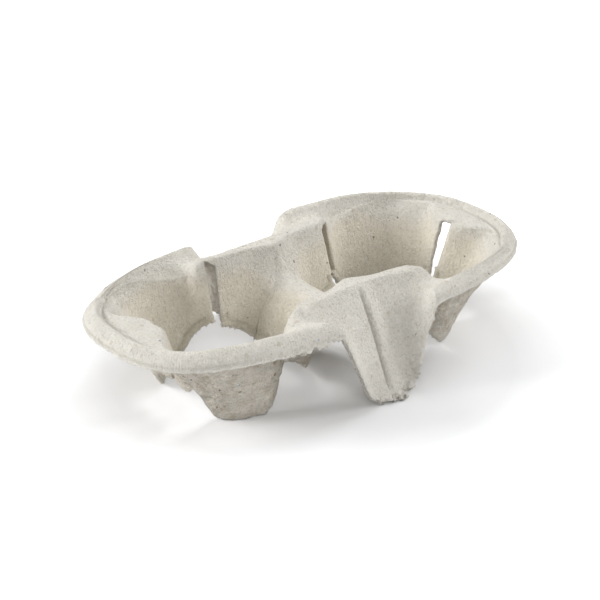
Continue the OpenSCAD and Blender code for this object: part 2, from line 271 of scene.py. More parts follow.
# Plateau, funnel foot and divider
SLIT_SIDE = pocket(S["slit_a"] + SLIT_HALF, wall_top(S["slit_a"]))
BULGE_SHARE, PLATEAU_CURVE, SADDLE_CURVE, CORNER_CURVE = 0.45, 6, 6, 5
FUN_ROWS = (0.24, 0.44, 0.6, 0.75, 0.91, 1)
FUN_CURVE, FLANK_CURVE = 1.35, 1.8
CREASE_ROWS, CREASE_IN, CREASE_DOWN = (0.8, 1, 1, 1, 0.4, 0), 0.85, 0.5
REACH_ANGLE, KNEE_AT = 16, 0.6
SEAM_BOW, KNEE_BOW, SLIT_BOW, SADDLE_BOW = (0.25, 0.72), (0.8, 0.3), (0.5, 0.5), (0.2, 1)


def plateau_inner(u):
    y = (S["plat_in"] - S["bulge"] * (1 - ramp(u / BULGE_SHARE))
         + (SLIT_SIDE[1] - S["plat_in"]) * u ** PLATEAU_CURVE)
    return np.array([u * S["fun_top"], y, mix(S["plat_z"], S["ledge"][2], u)])


def plateau_outer(u):
    return mix(S["plat_mid_out"], S["plat_out"], u * u)


def funnel_point(u, k):
    row = k - PLAT - 1
    v = FUN_ROWS[row]
    side_level = rim_point(S["slit_a"] - SLIT_HALF, k)[2] - S["flank"]
    flat = S["fun_foot"] / S["fun_edge"]
    flank = mix(u ** FLANK_CURVE, 0 if u < flat else (u - flat) / (1 - flat), v)
    cut = S["crease"] * CREASE_ROWS[row] * (u == 0)
    level = mix(S["plat_z"] * (1 - v ** FUN_CURVE), side_level, flank)
    return np.array([u * mix(S["fun_top"], S["fun_edge"], v),
                     mix(plateau_outer(u), S["fun_out"], v) - cut * CREASE_IN,
                     level - cut * CREASE_DOWN])


def bow(start, end, t, reach, lift):
    pull = np.array([mix(s, e, by) for s, e, by in zip(start, end, (reach, reach, lift))])
    return start * (1 - t) ** 2 + pull * 2 * t * (1 - t) + end * t * t


def low_point(a):
    reach = S["corner_reach"] * ramp(1 - abs(a - SEAM_A) / REACH_ANGLE)
    return pocket(a, inner_edge(a)) + reach * np.array([cosine(a), sine(a), 0])


def corner_point(t):
    knee = np.array([S["saddle_half"], S["saddle_corner"], S["saddle_z"] - S["corner_drop"]])
    if t < KNEE_AT:
        return bow(low_point(SEAM_A), knee, t / KNEE_AT, *SEAM_BOW)
    return bow(knee, plateau_inner(0), (t - KNEE_AT) / (1 - KNEE_AT), *KNEE_BOW)


def inward(a, i):
    return np.array([-S["toe_turn"] * cosine(a), -S["toe_turn"] * sine(a), 0]) * (i == 0)


def sheet(q, i, foot):
    a, k = col_angle(q), i - WALL
    if q <= SLIT_COL:
        return wall_point(a, i, foot) if k <= 0 else rim_point(a, k)
    low, t = low_point(a), min(i, SEAM_ROW) / SEAM_ROW
    if q <= SEAM_COL:
        u = across(q)
        p = plateau_inner(u)
        if i <= SEAM_ROW:
            panel = bow(low, p, t, *(mix(s, e, u) for s, e in zip(SEAM_BOW, SLIT_BOW)))
            return mix(panel, corner_point(t), (1 - u) ** CORNER_CURVE) + inward(a, i)
        if k <= PLAT:
            edge = np.array([u * S["fun_top"], plateau_outer(u), p[2]])
            return mix(p, edge, (k - LEDGE_ROW) / (PLAT - LEDGE_ROW))
        return funnel_point(u, k)
    deep = S["plat_in"] - S["bulge"]
    y = deep * (LAST_COL - q) / SAD_COLS
    rise = max(0, (y - S["saddle_run"]) / (deep - S["saddle_run"])) ** SADDLE_CURVE
    ridge = np.array([0, y, mix(S["saddle_z"], S["plat_z"], rise)])
    return bow(low, ridge, t, *SADDLE_BOW) + inward(a, i)


def quarter(g):
    return g if g <= LAST_COL else RING - 1 - g


def last_row(g):
    return SEAM_ROW if min(quarter(g), quarter((g + 1) % RING)) >= SEAM_COL else ROWS


def is_slit(g):
    sides = sorted((quarter(g), quarter((g + 1) % RING)))
    return g == RING - 1 or sides == [SLIT_COL, SLIT_COL + 1]


# Middle sheet of the shell: quads of both halves, joined along the middle line
LEFT_WIDE, NARROW, RIGHT_WIDE = FEET = (0, 1, 2)
GRID = [[[sheet(q, i, foot) for i in range(ROWS + 1)] for q in range(LAST_COL + 1)]
        for foot in FEET]
for foot in FEET:
    for q in range(SEAM_COL, LAST_COL + 1):
        for i in range(SEAM_ROW, ROWS + 1):
            GRID[foot][q][i][0] = 0.0
verts, index, quads, sharp = [], {}, [], {}
SAME_DIGITS = 4


def vert(half, g, i):
    foot = NARROW if g > LAST_COL else (LEFT_WIDE if half else RIGHT_WIDE)
    p = GRID[foot][quarter(g)][i].copy()
    if g > LAST_COL:
        p[1] = -p[1]
    if half:
        p[:2] = -p[:2]
    key = tuple(np.round(p, SAME_DIGITS) + 0.0)
    if key not in index:
        index[key] = len(verts)
        verts.append(p)
    return index[key]


# How crisp a turn is: the number of subdivisions that keep it
SUBDIVISIONS = 2


def row_turn(q, i):
    k = i - WALL
    if i == 1:
        return SUBDIVISIONS
    if q < SLIT_COL:
        return 1 if k in (TURN_ROW, LEDGE_ROW) else 0
    return SUBDIVISIONS if q < SEAM_COL and k in (LEDGE_ROW, PLAT) else 0


def column_turn(q, i):
    on_seam = q == SEAM_COL and (i < WALL or i >= WALL + PLAT)
    by_slit = q in (SLIT_COL, SLIT_COL + 1) and i >= WALL
    return SUBDIVISIONS if on_seam or by_slit else 0


for half in (0, 1):
    for g in range(RING):
        for i in range(last_row(g)):
            if is_slit(g) and i <= WALL:
                continue
            f = (g + 1) % RING
            ids = [vert(half, g, i), vert(half, f, i), vert(half, f, i + 1), vert(half, g, i + 1)]
            if len(set(ids)) == 4:
                quads.append(ids)
                q = min(quarter(g), quarter(f))
                turns = ((row_turn(q, i), ids[:2]), (column_turn(quarter(g), i), ids[::3]))
                for turn, (a, b) in turns:
                    if turn:
                        sharp[tuple(sorted((a, b)))] = turn
# V are the sheet's vertices, Q its quads and, further on, N its normals
V, Q = np.array(verts), np.array(quads)


# Smooth subdivision of a quad sheet with free edges
FREE_KEEP, FREE_SHARE, TINY = 0.75, 0.125, 1e-9


def unit(v):
    return v / np.maximum(np.linalg.norm(v, axis=1), TINY)[:, None]


def add_up(size, ids, values):
    total = np.zeros((size,) + values.shape[1:])
    for c in range(ids.shape[1]):
        np.add.at(total, ids[:, c], values)
    return total


def sides_of(Q):
    return np.stack([Q, np.roll(Q, -1, 1)], 2).reshape(-1, 2)


def edges_of(Q):
    sides = np.sort(sides_of(Q), axis=1)
    pairs, back, count = np.unique(sides, axis=0, return_inverse=True, return_counts=True)
    return pairs, back.reshape(-1, 4), count


def subdivide(V, Q, sharp):
    pairs, face_edge, count = edges_of(Q)
    size = len(V)
    keep = np.array([sharp.get((a, b), 0) for a, b in pairs.tolist()])
    free = (count == 1) | (keep > 0)
    face_point, mid = V[Q].mean(1), V[pairs].mean(1)
    beside = add_up(len(pairs), face_edge, face_point)
    edge_point = np.where(free[:, None], mid, (mid * 2 + beside) / 4)
    faces = np.maximum(add_up(size, Q, np.ones(len(Q))), 1)[:, None]
    valence = np.maximum(add_up(size, pairs, np.ones(len(pairs))), 1)[:, None]
    around = add_up(size, Q, face_point) / faces + 2 * add_up(size, pairs, mid) / valence
    inner = (around + (valence - 3) * V) / valence
    ends = pairs[free]
    free_count = add_up(size, ends, np.ones(len(ends)))[:, None]
    free_sum = np.zeros_like(V)
    for c in range(2):
        np.add.at(free_sum, ends[:, c], V[ends[:, 1 - c]])
    outer = np.where(free_count == 2, V * FREE_KEEP + free_sum * FREE_SHARE, V)
    old_point = np.where(free_count > 1, outer, inner)
    on_edge = size + face_edge
    on_face = size + len(pairs) + np.arange(len(Q))
    new = [np.stack([Q[:, c], on_edge[:, c], on_face, on_edge[:, c - 1]], 1) for c in range(4)]
    left = {}
    for j in np.nonzero(keep > 1)[0]:
        for v in pairs[j]:
            left[(int(v), int(size + j))] = int(keep[j]) - 1
    return np.vstack([old_point, edge_point, face_point]), np.vstack(new), left


def normals_of(V, Q):
    p = V[Q]
    return unit(add_up(len(V), Q, np.cross(p[:, 2] - p[:, 0], p[:, 3] - p[:, 1])))


for _ in range(SUBDIVISIONS):
    V, Q, sharp = subdivide(V, Q, sharp)
N = normals_of(V, Q)
if N[np.argmax(V[:, 2])][2] < 0:
    Q = Q[:, ::-1].copy()
    N = -N

# Seeded noise for uneven pulp, as rows of scale in millimetres, seed, octaves and height
SEED_SHIFT = (17.3, -9.1, 5.7)
BITE = ((1.8, 4, 3, 1.0), (5.5, 5, 2, 0.8))
WARP = ((38, 1, 2, 0.35),)
WANDER = ((7, 12, 2, 0.25),)
THIN = ((3, 6, 2, 0.2),)
FINE = ((5.5, 2, 3, 0.14), (1.9, 8, 2, 0.08))
LUMP = ((4.2, 3, 4, 0.38), (2.2, 9, 2, 0.42))
CLUMP_UP = ((2.6, 7, 3, 1.0),)
CLUMP_LOW = ((2.8, 10, 3, 0.5),)


def field(P, scale, seed, octaves):
    shift = Vector([seed * s for s in SEED_SHIFT])
    return np.array([noise.fractal(Vector(p) / scale + shift, 1.0, 2.0, octaves) for p in P])


def uneven(P, rows):
    return sum(field(P, scale, seed, octaves) * high for scale, seed, octaves, high in rows)


# Distance of each point from the nearest free edge, and that edge's way out
def nearest(points, P):
    tree = KDTree(len(points))
    for j, p in enumerate(points):
        tree.insert(Vector(p), j)
    tree.balance()
    found = [tree.find(Vector(p)) for p in P]
    return np.array([f[1] for f in found]), np.array([f[2] for f in found])


pairs, face_edge, count = edges_of(Q)
edge_ids = np.unique(pairs[count == 1])
is_free = count[face_edge].reshape(-1) == 1
free_pairs, free_face = sides_of(Q)[is_free], np.repeat(np.arange(len(Q)), 4)[is_free]
way = V[free_pairs].mean(1) - V[Q[free_face]].mean(1)
along = unit(V[free_pairs[:, 1]] - V[free_pairs[:, 0]])
way -= along * (way * along).sum(1)[:, None]
out = unit(add_up(len(V), free_pairs, unit(way)))
run_way = unit(add_up(len(V), free_pairs, along))
near, dist = nearest(V[edge_ids], V)
near = edge_ids[near]

# Kinds of free edge: the lip, the funnel feet, the holes and the slits
LIP_LOW, LIP_GAP, FUNNEL_OUT, FUNNEL_HALF, FUNNEL_TOP, HOLE_TOP = 30, 3, 36, 27, 34, 21
END_SLIT_HALF, END_SLIT_OUT = 4, 60
RING_POINTS = 600
edge_points = V[edge_ids]
x, y, z = edge_points.T
half_x, half_y = np.abs(x), np.abs(y)
ring_line = np.array([[*outline(a), 0] for a in np.linspace(0, S["slit_a"], RING_POINTS)])
ring_len = np.r_[0, np.cumsum(np.linalg.norm(np.diff(ring_line, axis=0), axis=1))]
lip_gap = nearest(ring_line, np.abs(edge_points) * (1, 1, 0))[1]
lip_part = (z > LIP_LOW) & (lip_gap < LIP_GAP)
funnel_part = (half_y > FUNNEL_OUT) & (half_x < FUNNEL_HALF) & (z <= FUNNEL_TOP)
hole_part = ~lip_part & ~funnel_part & (z < HOLE_TOP)
slit_part = ~lip_part & ~funnel_part & ~hole_part
end_slit = slit_part & (half_y < END_SLIT_HALF) & (half_x > END_SLIT_OUT)

# Torn edges: how ragged each free edge is, in millimetres
LIP_RAGGED, FUNNEL_RAGGED, HOLE_RAGGED, SLIT_RAGGED = 0.25, 0.6, 0.5, 0.15
TORN_LIP, TORN_END, TORN_END_HIGH, TORN_SIDE = 1.9, 0.7, 2, 40
FRONT_TEAR, FRONT_TEAR_WIDE, FRONT_TEAR_POWER = -39, 14, 4
BACK_TEAR, BACK_TEAR_WIDE, BACK_TEAR_SHARE = 38, 9, 0.6
BITE_LEAST, BITE_MOST, BITE_DEEP = -2.0, 1.6, 1.5
CORNER_CUT, CORNER_WIDE, CORNER_HIGH = 1.6, 2.2, 2.5
ragged = np.where(hole_part, HOLE_RAGGED, SLIT_RAGGED)
ragged = np.where(lip_part, LIP_RAGGED, np.where(funnel_part, FUNNEL_RAGGED, ragged))
front_tear = bell(x - FRONT_TEAR, FRONT_TEAR_WIDE, FRONT_TEAR_POWER) * (y < -TORN_SIDE)
back_tear = BACK_TEAR_SHARE * bell(x - BACK_TEAR, BACK_TEAR_WIDE) * (y > TORN_SIDE)
ragged = ragged + lip_part * (front_tear + back_tear) * TORN_LIP
ragged = ragged + funnel_part * TORN_END * bell(z, TORN_END_HIGH)
foot_corner = funnel_part * bell(half_x - S["fun_foot"], CORNER_WIDE) * bell(z, CORNER_HIGH)
reach = np.zeros(len(V))
reach[edge_ids] = np.clip(ragged * uneven(edge_points, BITE), BITE_LEAST, BITE_MOST)
reach[edge_ids] -= CORNER_CUT * foot_corner

# Slits: at two inner ones the wall's edge is tucked behind the panel
# Values in pairs are for the right half and the left half
TUCK, SINK, SINK_WIDE, SLIT_OPEN = (1.2, 2.0), (3.2, 2.6), (1.7, 1.0), (0.8, 0.3)
TUCK_SIDE, SHADE_WIDE, SHADE_SOFT = -0.2, 1.6, 0.5
END_OPEN, END_OPEN_FROM, END_OPEN_RUN = 1.2, 8, 24
FUN_WIDER, FUN_WIDER_AT, FUN_WIDER_RUN = 1.7, 9, 9
behind = slit_part & ~end_slit & (out[edge_ids][:, 0] * np.sign(x) < TUCK_SIDE) & (x * y > 0)
reach[edge_ids] += np.where(x > 0, *TUCK) * behind
reach[edge_ids] -= np.where(x > 0, *SLIT_OPEN) * (slit_part & (x * y < 0))
reach[edge_ids] -= END_OPEN * end_slit * fade_in(z, END_OPEN_FROM, END_OPEN_RUN)
wide_side = funnel_part & (x * y < 0)
reach[edge_ids] += FUN_WIDER * wide_side * bell(z - FUN_WIDER_AT, FUN_WIDER_RUN)
sink = np.zeros(len(V))
sink[edge_ids] = np.where(x > 0, *SINK) * behind
sink_wide = np.where(V[:, 0] > 0, *SINK_WIDE)
V = V + out[near] * (reach[near] * bell(dist, BITE_DEEP))[:, None]
V -= N * (sink[near] * bell(dist, sink_wide))[:, None]
# slit_shade paints shade on the sunk wall strip beside the panel edge at the two inner slits, for a
# dark gap
slit_shade = (sink[near] > 0) * fade_in(SHADE_WIDE * sink_wide, dist, SHADE_SOFT)

# Slow warp of the whole shell
V += N * uneven(V, WARP)[:, None]
N = normals_of(V, Q)
near_edge, dist = nearest(V[edge_ids], V)
cut_edge, hole_edge, lip_edge = slit_part[near_edge], hole_part[near_edge], lip_part[near_edge]
far_x, far_y, level = np.abs(V[:, 0]), np.abs(V[:, 1]), V[:, 2]

# Funnel feet: a groove with a raised side, a hollow beside it, and clumps at the torn end
GROOVE_FROM, GROOVE_RUN, GROOVE_FOOT, GROOVE_FOOT_RUN = 0.5, 3, 3, 6
RAISED, RAISED_AT, RAISED_WIDE, GROOVE_WIDE = 0.6, 2.0, 1.0, 0.8
HOLLOW, HOLLOW_FROM, HOLLOW_RUN, HOLLOW_EDGE = 2.0, 3, 5, 7
FOOT_END, FOOT_HALF = 40, 26
CLUMP_RUN, CLUMP_HIGH, SCOOP, SCOOP_HIGH = 8, 4.5, 1.3, 2.6
across_groove = -V[:, 0] * np.sign(V[:, 1])
on_funnel = fade_in(far_y, S["plat_mid_out"] + GROOVE_FROM, GROOVE_RUN)
on_funnel *= fade_in(level, GROOVE_FOOT, GROOVE_FOOT_RUN)
from_groove = across_groove - uneven(V * (0, 0, 1), WANDER)
groove = on_funnel * (RAISED * bell(from_groove - RAISED_AT, RAISED_WIDE)
                      - bell(from_groove, GROOVE_WIDE))
hollow = on_funnel * fade_in(across_groove, HOLLOW_FROM, HOLLOW_RUN)
hollow *= fade_in(dist, 0, HOLLOW_EDGE) * HOLLOW
clump = fade_in(far_y, FOOT_END, CLUMP_RUN) * bell(level, CLUMP_HIGH) * (far_x < FOOT_HALF)
scoop = SCOOP * bell(level, SCOOP_HIGH) * (far_y > FOOT_END) * (far_x < FOOT_HALF)

# Lines round the rim, the lip and the holes
RIM_FROM, RIM_RUN, RIM_LOW, RIM_LOW_RUN = 62, 18, 34, 3
RIM_RAISED, RIM_RAISED_AT, RIM_RAISED_WIDE = 0.35, 4.0, 1.4
RIM_GROOVE_AT, RIM_GROOVE_WIDE = 7.6, 1.5
TOE_AT, TOE_WIDE, TOE_BAND, TOE_SOFT = 3.2, 0.6, 3.4, 0.5
LIP_AT, LIP_WIDE, LIP_CALM, LIP_CALM_WIDE = 1.7, 0.5, 0.75, 2.0
ring_at, ring_gap = nearest(ring_line, np.abs(V) * (1, 1, 0))
rim_turn = fade_in(far_x, RIM_FROM, RIM_RUN) * fade_in(level, RIM_LOW, RIM_LOW_RUN)
rim_groove = rim_turn * (RIM_RAISED * bell(ring_gap - RIM_RAISED_AT, RIM_RAISED_WIDE)
                         - bell(ring_gap - RIM_GROOVE_AT, RIM_GROOVE_WIDE))
# The toe line is a crease and the toe band runs along the hole edges; both are also painted shade in
# the colour
toe_line = hole_edge * bell(dist - TOE_AT, TOE_WIDE)
toe_band = hole_edge * fade_in(TOE_BAND, dist, TOE_SOFT)
# The lip line is a groove under the bead, also painted shade in the colour
lip_line = lip_edge * bell(dist - LIP_AT, LIP_WIDE)

# Two faces of the pulp: finer inside and on top, lumpy outside, thin at the edges
CUT_ROUND, EDGE_ROUND, CUT_THIN, EDGE_THIN = 0.5, 1.4, 0.8, 0.3
TOE_DEEP, LIP_DEEP, HOLLOW_UNDER, CLUMP_BIAS, CLUMP_MOST = 0.5, 0.45, 0.8, 0.2, 2.2
edge_share = np.clip(dist / np.where(cut_edge, CUT_ROUND, EDGE_ROUND), 0, 1)
thin = np.where(cut_edge, CUT_THIN, EDGE_THIN + uneven(V, THIN))
thickness = S["pulp"] * (thin + (1 - thin) * np.sqrt(1 - (1 - edge_share) ** 2))
fine = uneven(V, FINE) + rim_groove - TOE_DEEP * toe_line - LIP_DEEP * lip_line
lump = uneven(V, LUMP) * (1 - LIP_CALM * lip_edge * bell(dist, LIP_CALM_WIDE))
clump_up = clump * (uneven(V, CLUMP_UP) + CLUMP_BIAS) * CLUMP_MOST
clump_low = clump * uneven(V, CLUMP_LOW)
up = V + N * (scoop + thickness / 2 + fine + groove - hollow + clump_up)[:, None]
low = V - N * (thickness / 2 - scoop + lump + hollow * HOLLOW_UNDER + clump_low)[:, None]
low[:, 2] = np.maximum(low[:, 2], 0.0)
up[:, 2] = np.maximum(up[:, 2], 0.0)
per_face = len(V)
strips = np.array([[b, a, a + per_face, b + per_face] for a, b in free_pairs])
faces = np.vstack([Q, Q[:, ::-1] + per_face, strips]).tolist()
points = np.vstack([up, low])

# Loose shreds of pulp along the torn edges
BITS_SEED = 11
SHRED_LEAST, SHRED_CHANCE, SHRED_CHANCE_MOST = 0.35, 0.55, 0.45
SHRED_LONG, SHRED_WIDE, SHRED_THICK = (0.3, 0.8), (0.35, 0.7), (0.2, 0.4)
LONG_BASE, WIDE_BASE, WIDE_ROUGH, SHRED_ROOT = 0.5, 0.8, 0.5, 0.6
SHRED_ALONG, SHRED_LEAN, SHRED_BEND = (-0.9, 0.9), (-0.5, 0.5), (-0.4, 0.4)
SHRED_TAPER = ((0, 1.0), (0.6, 0.8), (1, 0.3))
CORNERS = ((-1, -1), (1, -1), (1, 1), (-1, 1))
rng = np.random.default_rng(BITS_SEED)
rough = np.zeros(len(V))
rough[edge_ids] = ragged
bits = []
for v in edge_ids:
    if rough[v] < SHRED_LEAST:
        continue
    if rng.random() > min(SHRED_CHANCE * rough[v], SHRED_CHANCE_MOST):
        continue
    length = rng.uniform(*SHRED_LONG) * (LONG_BASE + rough[v])
    width = rng.uniform(*SHRED_WIDE) * (WIDE_BASE + WIDE_ROUGH * rough[v])
    thick = rng.uniform(*SHRED_THICK)
    go = out[v] + run_way[v] * rng.uniform(*SHRED_ALONG) + N[v] * rng.uniform(*SHRED_LEAN)
    bend = N[v] * rng.uniform(*SHRED_BEND) + run_way[v] * rng.uniform(*SHRED_BEND)
    go /= np.linalg.norm(go)
    flat = np.cross(N[v], go)
    start, shred = V[v] - out[v] * SHRED_ROOT, []
    for t, w in SHRED_TAPER:
        c = start + go * (length + SHRED_ROOT) * t + bend * length * t * t
        shred += [c + flat * width * w * a + N[v] * thick * w * b for a, b in CORNERS]
    if max(p[2] for p in shred) <= 0:
        continue
    base, ring = len(points) + len(bits), len(CORNERS)
    last = base + len(shred) - ring
    bits += shred
    for r in range(base, last, ring):
        for c in range(ring):
            d = (c + 1) % ring
            faces.append([r + c, r + d, r + ring + d, r + ring + c])
    faces += [list(range(last, last + ring)), list(range(base, base + ring))[::-1]]

# Crumbs of pulp on the torn ends of the funnel feet
CRUMBS, CRUMB_SIZE, CRUMB_FLAT, CRUMB_ROUGH, CRUMB_OUT = 110, (0.35, 1.0), (1, 0.75, 0.6), 0.3, 0.15
CRUMB_EDGE, CRUMB_SIDE, CRUMB_HIGH, CRUMB_CLIMB = 3.5, -7, 3.5, 0.6
CRUMB_NEAR, CRUMB_BASE, CRUMB_RUN = 1.5, 0.25, 8
ball = bmesh.new()
bmesh.ops.create_icosphere(ball, subdivisions=2, radius=1)
ball_points = np.array([v.co for v in ball.verts])
ball_faces = [[v.index for v in f.verts] for f in ball.faces]
ball.free()
on_end = funnel_part[near_edge] & (dist < CRUMB_EDGE) & (across_groove > CRUMB_SIDE)
on_end &= level < CRUMB_HIGH + CRUMB_CLIMB * np.maximum(across_groove, 0)
spots = np.nonzero(on_end)[0]
share = np.exp(-dist[spots] / CRUMB_NEAR)
share *= CRUMB_BASE + fade_in(across_groove[spots], 0, CRUMB_RUN)
for v in rng.choice(spots, CRUMBS, p=share / share.sum()):
    size = rng.uniform(*CRUMB_SIZE)
    form = ball_points * (1 + CRUMB_ROUGH * rng.uniform(-1, 1, (len(ball_points), 1)))
    turned = np.linalg.qr(rng.normal(size=(3, 3)))[0]
    form = form @ turned * CRUMB_FLAT * size
    base = len(points) + len(bits)
    bits += list(up[v] + N[v] * CRUMB_OUT + form)
    faces += [[base + c for c in face] for face in ball_faces]
bits = np.array(bits)
bits[:, 2] = np.maximum(bits[:, 2], 0.0)
P = np.vstack([points, bits]) * MM

mesh = bpy.data.meshes.new("carrier_shell")
mesh.from_pydata(P.tolist(), [], faces)
mesh.validate()
mesh.polygons.foreach_set("use_smooth", [True] * len(mesh.polygons))


def attribute(name, upper, lower, on_bits):
    values = np.r_[upper, lower, np.full(len(bits), on_bits)]
    layer = mesh.attributes.new(name, "FLOAT", "POINT")
    layer.data.foreach_set("value", values.astype(np.float32))


# Marks for the material on the upper face, the lower face and the bits of pulp, painted shade and
# highlight among them
BAND_WIDE, BAND_SOFT, BAND_FROM, BAND_RUN, BAND_LOW, BAND_LOW_RUN = 7, 3, 34, 14, 30, 4
INSIDE_TOP, INSIDE_TOP_RUN, INSIDE_R, INSIDE_R_RUN = 40.5, 7, 46, 6
POCKET_SHADE_TOP, POCKET_SHADE_RUN, EDGE_WIDE = 34, 30, 0.8
SLIT_SHADE_STRENGTH, LIP_GROOVE_SHADE, TOE_CREASE_SHADE, HOLE_BAND_SHADE = 1.8, 0.5, 0.8, 0.28
zero = np.zeros(per_face)
band = fade_in(BAND_WIDE, ring_gap, BAND_SOFT) * fade_in(far_x, BAND_FROM, BAND_RUN)
band *= fade_in(level, BAND_LOW, BAND_LOW_RUN)
cup = np.hypot(far_x - S["top_x"], V[:, 1])
# inside marks the pockets' inner face: its warm tint is painted bounce light and shade, its streaks
# are bump
inside = fade_in(INSIDE_TOP, level, INSIDE_TOP_RUN) * fade_in(INSIDE_R, cup, INSIDE_R_RUN)
edge = np.exp(-dist / EDGE_WIDE)
# Painted highlight: a pale line along the lip and funnel edges
edge_highlight = (funnel_part | lip_part)[near_edge] * bell(dist, EDGE_WIDE)
# Painted shade: the slit strips and the lip groove on both faces, with the toe crease and a band
# along the hole edges on the upper face
shade = SLIT_SHADE_STRENGTH * slit_shade + LIP_GROOVE_SHADE * lip_line
toe = shade + TOE_CREASE_SHADE * toe_line + HOLE_BAND_SHADE * toe_band
# Painted shade, darker towards the bottom of the pockets' inner face
depth = fade_in(POCKET_SHADE_TOP, level, POCKET_SHADE_RUN)
round_rim = ring_len[ring_at]
attribute("under", zero, zero + 1, 0.5)
attribute("edge", edge, edge, 1)
attribute("inner", inside, zero, 0)
attribute("toe", toe, shade, 0)
attribute("edge_highlight", edge_highlight, edge_highlight, 0.5)
attribute("depth", depth, depth, 0)
attribute("round_rim", round_rim, round_rim, 0)
attribute("rim_band", band, zero, 0)
shell = bpy.data.objects.new("carrier_shell", mesh)
bpy.context.scene.collection.objects.link(shell)


# Short ways to add shader nodes to a tree
def tools(tree):
    def node(kind, **settings):
        made = tree.nodes.new("ShaderNode" + kind)
        for key, value in settings.items():
            setattr(made, key, value)
        return made

    def put(socket, value):
        if hasattr(value, "links"):
            tree.links.new(value, socket)
        else:
            socket.default_value = value

    def maths(kind, a, b=0.0):
        made = node("Math", operation=kind)
        put(made.inputs[0], a)
        put(made.inputs[1], b)
        return made.outputs[0]

    def between(value, start, end, low=0.0, high=1.0):
        made = node("MapRange")
        for socket, setting in zip(made.inputs, (value, start, end, low, high)):
            put(socket, setting)
        return made.outputs[0]

    return node, put, maths, between


# Pulp material: moulded recycled paper with fibres, flecks and screen marks, with painted shade and
# highlight in its colour
PULP_ROUGH, PULP_SPECULAR = 0.95, 0.12
BUMP_STRENGTH, BUMP_DEEP, RIB_PITCH, RIB_HIGH = 0.9, 0.0016, 1.15, 0.11
GRAIN_HIGH, FIBRE_HIGH, FIBRE_UNDER = 0.5, 0.75, 1.3
STREAK_HIGH, STREAK_INNER, PATCH_UNDER = 0.25, 0.45, 2.2
FLECK_WOBBLE, FLECK_WOBBLE_SCALE, FLECK_SOFT = 0.0016, 1100, 0.05
MIX_SHARE, MIX_FIRST, MIX_SECOND, MIX_COLOUR = 0, 6, 7, 2
TOP_COLOUR = (0.755, 0.73, 0.672, 1)
INNER_BOUNCE_SHADE_COLOUR = (0.775, 0.72, 0.61, 1)
POCKET_SHADE_COLOUR = (0.50, 0.46, 0.36, 1)
UNDER_COLOUR = (0.97, 0.90, 0.785, 1)
STAIN_COLOUR = (0.56, 0.45, 0.31, 1)
MOTTLE_COLOUR = (0.65, 0.61, 0.53, 1)
PALE_FIBRE, DARK_FIBRE = (0.82, 0.795, 0.735, 1), (0.44, 0.395, 0.315, 1)
PALE_GRAIN, DARK_GRAIN = (0.88, 0.86, 0.80, 1), (0.37, 0.325, 0.255, 1)
EDGE_COLOUR = (0.76, 0.73, 0.66, 1)
EDGE_HIGHLIGHT_COLOUR = (0.84, 0.81, 0.74, 1)
SHADE_COLOUR = (0.32, 0.285, 0.21, 1)
TAN_FLECK, DARK_FLECK = (0.42, 0.30, 0.17, 1), (0.08, 0.075, 0.075, 1)
RED_INK, BLUE_INK, RED_SHARE = (0.50, 0.16, 0.14, 1), (0.08, 0.16, 0.40, 1), 0.35


